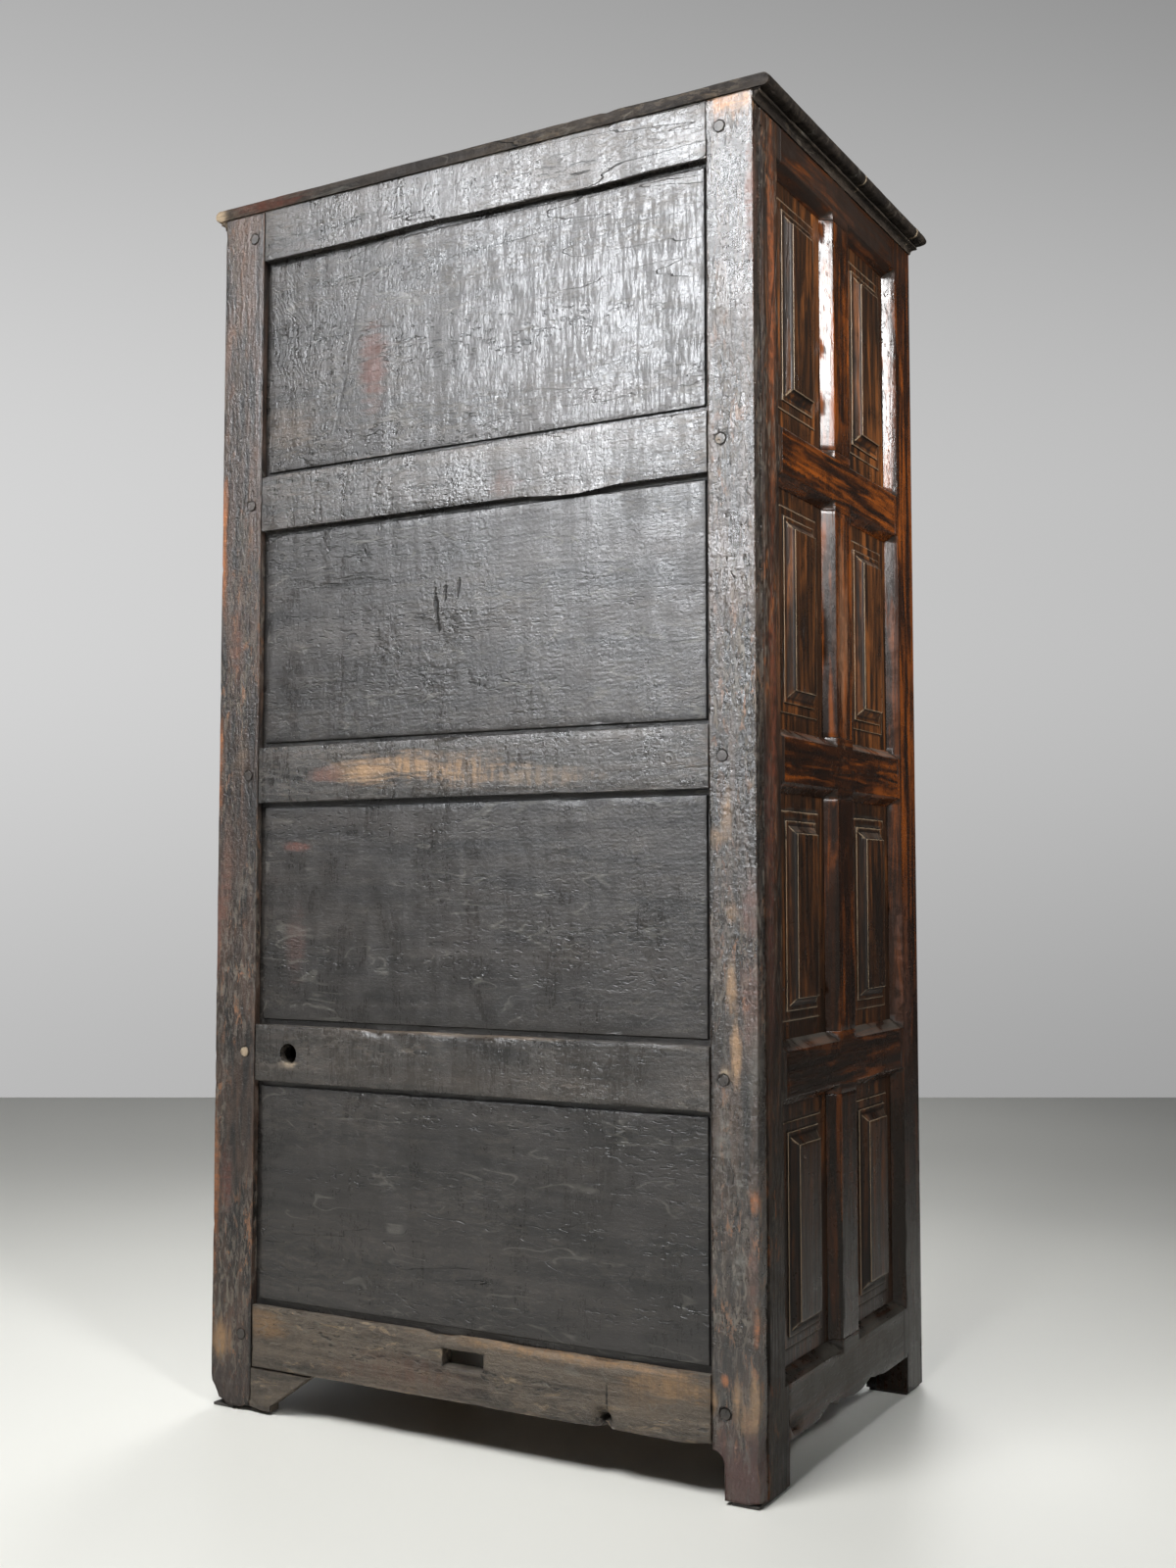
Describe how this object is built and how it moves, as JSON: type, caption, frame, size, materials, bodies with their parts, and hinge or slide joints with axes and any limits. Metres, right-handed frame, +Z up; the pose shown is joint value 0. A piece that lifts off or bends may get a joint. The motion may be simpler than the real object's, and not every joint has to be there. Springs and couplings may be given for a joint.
{
  "type": "fall-front cabinet",
  "caption": "Tall panelled wooden cabinet with a fall front that pivots down onto pull-out lopers, a pair of cupboard doors below it and a framed, panelled back.",
  "frame": {"origin": "middle of the cabinet's outline on the floor", "axes": "+Z up; the fall leaf and doors face -Y, the framed back faces +Y"},
  "size_m": [0.844, 0.578, 1.638],
  "materials": {
    "back_frame_wood": "dark worn wax over old varnish",
    "back_panel_wood": "dark worn wax, plane marks",
    "frame_wood": "dark brown wax, worn edges",
    "panel_wood": "dark brown wax, worn fields",
    "top_wood": "dark brown wax, worn nose",
    "inner_wood": "unfinished, aged",
    "loper_wood": "worn wax",
    "knob_wood": "polished by hands",
    "peg_wood": "end grain",
    "pad_felt": "felt",
    "iron": "forged, dark"
  },
  "bodies": {
    "carcass": {"back_bottom_panel": "back_panel_wood", "back_bottom_rail": "back_frame_wood", "back_left_stile": "back_frame_wood", "back_lower_panel": "back_panel_wood", "back_lower_rail": "back_frame_wood", "back_middle_panel": "back_panel_wood", "back_middle_rail": "back_frame_wood", "back_right_stile": "back_frame_wood", "back_top_rail": "back_frame_wood", "back_upper_panel": "back_panel_wood", "back_upper_rail": "back_frame_wood", "bottom_board": "inner_wood", "cornice_strips": "top_wood", "drawbore_pegs": "peg_wood", "dust_board": "inner_wood", "foot_bracket": "back_frame_wood", "foot_pads": "pad_felt", "front_bottom_rail": "frame_wood", "front_middle_rail": "frame_wood", "front_top_rail": "frame_wood", "left_back_stile": "frame_wood", "left_front_post": "frame_wood", "left_muntins": "frame_wood", "left_panels": "panel_wood", "left_rails": "frame_wood", "loper_guides": "inner_wood", "lower_shelf": "inner_wood", "pigeonhole_boards": "inner_wood", "pivot_pins": "iron", "right_back_stile": "frame_wood", "right_front_post": "frame_wood", "right_muntins": "frame_wood", "right_panels": "panel_wood", "right_rails": "frame_wood", "shelf_battens": "inner_wood", "top_board": "top_wood", "writing_deck": "inner_wood"},
    "fall_leaf": {"fall_bottom_rail": "frame_wood", "fall_middle_rail": "frame_wood", "fall_muntins": "frame_wood", "fall_panels": "panel_wood", "fall_ring_plate": "iron", "fall_stiles": "frame_wood", "fall_top_rail": "frame_wood", "lock_case": "iron", "lock_plate": "iron"},
    "fall_ring": {"fall_ring": "iron"},
    "left_door": {"left_door_knob": "knob_wood", "left_door_panels": "panel_wood", "left_door_rails": "frame_wood", "left_door_stiles": "frame_wood"},
    "left_loper": {"left_loper": "loper_wood"},
    "lock_bolt": {"lock_bolt": "iron"},
    "right_door": {"right_door_knob": "knob_wood", "right_door_panels": "panel_wood", "right_door_rails": "frame_wood", "right_door_stiles": "frame_wood"},
    "right_loper": {"right_loper": "loper_wood"}
  },
  "joints": [
    {"name": "fall_hinge", "type": "hinge", "parent": "carcass", "child": "fall_leaf", "pos_m": [0, -0.25, 0.899], "axis": [1, 0, 0], "range_deg": [0, 90]},
    {"name": "left_door_hinge", "type": "hinge", "parent": "carcass", "child": "left_door", "pos_m": [-0.321, -0.25, 0.472], "axis": [0, 0, -1], "range_deg": [0, 90]},
    {"name": "right_door_hinge", "type": "hinge", "parent": "carcass", "child": "right_door", "pos_m": [0.321, -0.25, 0.472], "axis": [0, 0, 1], "range_deg": [0, 90]},
    {"name": "left_loper_slide", "type": "slide", "parent": "carcass", "child": "left_loper", "axis": [0, -1, 0], "range_m": [0, 0.3]},
    {"name": "right_loper_slide", "type": "slide", "parent": "carcass", "child": "right_loper", "axis": [0, -1, 0], "range_m": [0, 0.3]},
    {"name": "lock_bolt_slide", "type": "slide", "parent": "fall_leaf", "child": "lock_bolt", "axis": [0, 0, 1], "range_m": [0, 0.012]},
    {"name": "fall_ring_swing", "type": "hinge", "parent": "fall_leaf", "child": "fall_ring", "pos_m": [0, -0.2765, 1.2165], "axis": [-1, 0, 0], "range_deg": [0, 80]}
  ]
}
